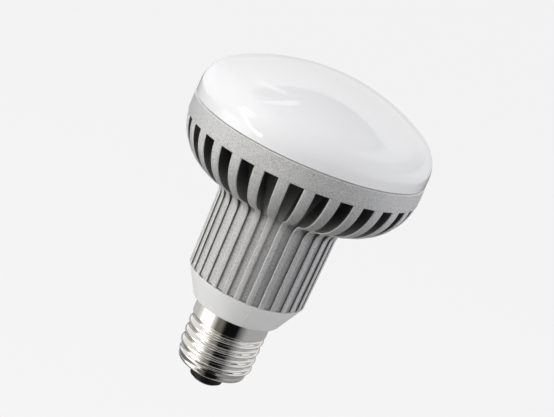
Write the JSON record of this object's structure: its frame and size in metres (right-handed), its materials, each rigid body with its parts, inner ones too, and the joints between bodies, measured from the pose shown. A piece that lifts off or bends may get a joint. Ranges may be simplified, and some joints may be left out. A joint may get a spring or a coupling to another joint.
{
  "type": "reflector bulb",
  "caption": "LED reflector lamp: finned cast heat sink with a plain rim, opal dome diffuser, white cone collar and a 27 mm Edison screw cap.",
  "frame": {"origin": "centre of the flat tip of the centre contact, at the end of the cap", "axes": "+Z along the lamp's axis from the cap to the diffuser; +X through the middle of a fin"},
  "size_m": [0.08, 0.08, 0.1139],
  "materials": {
    "cast_aluminium": "fine blasted casting, silver lacquer",
    "opal_diffuser": "glossy opal polycarbonate",
    "white_moulding": "satin white moulding",
    "nickel_brass": "bright nickel plate on brass",
    "black_insulator": "black glassy insulator",
    "contact_brass": "tinned brass",
    "clear_silicone": "cured silicone",
    "plain_aluminium": "stamped sheet",
    "thermal_pad": "soft filled silicone",
    "white_board": "white solder mask",
    "phosphor": "LED phosphor",
    "steel_screw": "zinc plated",
    "green_board": "green solder mask on glass epoxy",
    "black_resin": "moulded resin",
    "red_film": "dipped film capacitor",
    "blue_disc": "dipped ceramic disc",
    "can_sleeve": "shrink sleeve on an aluminium can",
    "ferrite": "sintered ferrite",
    "copper_wire": "enamelled copper wire under tape",
    "red_wire": "insulated wire",
    "black_wire": "insulated wire"
  },
  "bodies": {
    "root": {"heat_sink": "cast_aluminium", "diffuser": "opal_diffuser", "seal_bead": "clear_silicone", "driver_housing": "white_moulding", "driver_lid": "white_moulding", "screw_shell": "nickel_brass", "insulator": "black_insulator", "centre_contact": "contact_brass", "mounting_plate": "plain_aluminium", "thermal_pad": "thermal_pad", "led_board": "white_board", "led_packages": "phosphor", "board_screws": "steel_screw", "housing_screws": "steel_screw", "driver_board": "green_board", "bridge_rectifier": "black_resin", "control_chip": "black_resin", "fuse_resistor": "blue_disc", "film_capacitor": "red_film", "safety_capacitor": "blue_disc", "bulk_capacitor": "can_sleeve", "output_capacitor": "can_sleeve", "choke": "ferrite", "transformer_core": "ferrite", "transformer_bobbin": "black_resin", "transformer_winding": "copper_wire", "live_lead": "red_wire", "neutral_lead": "black_wire", "positive_lead": "red_wire", "negative_lead": "black_wire"}
  },
  "joints": []
}
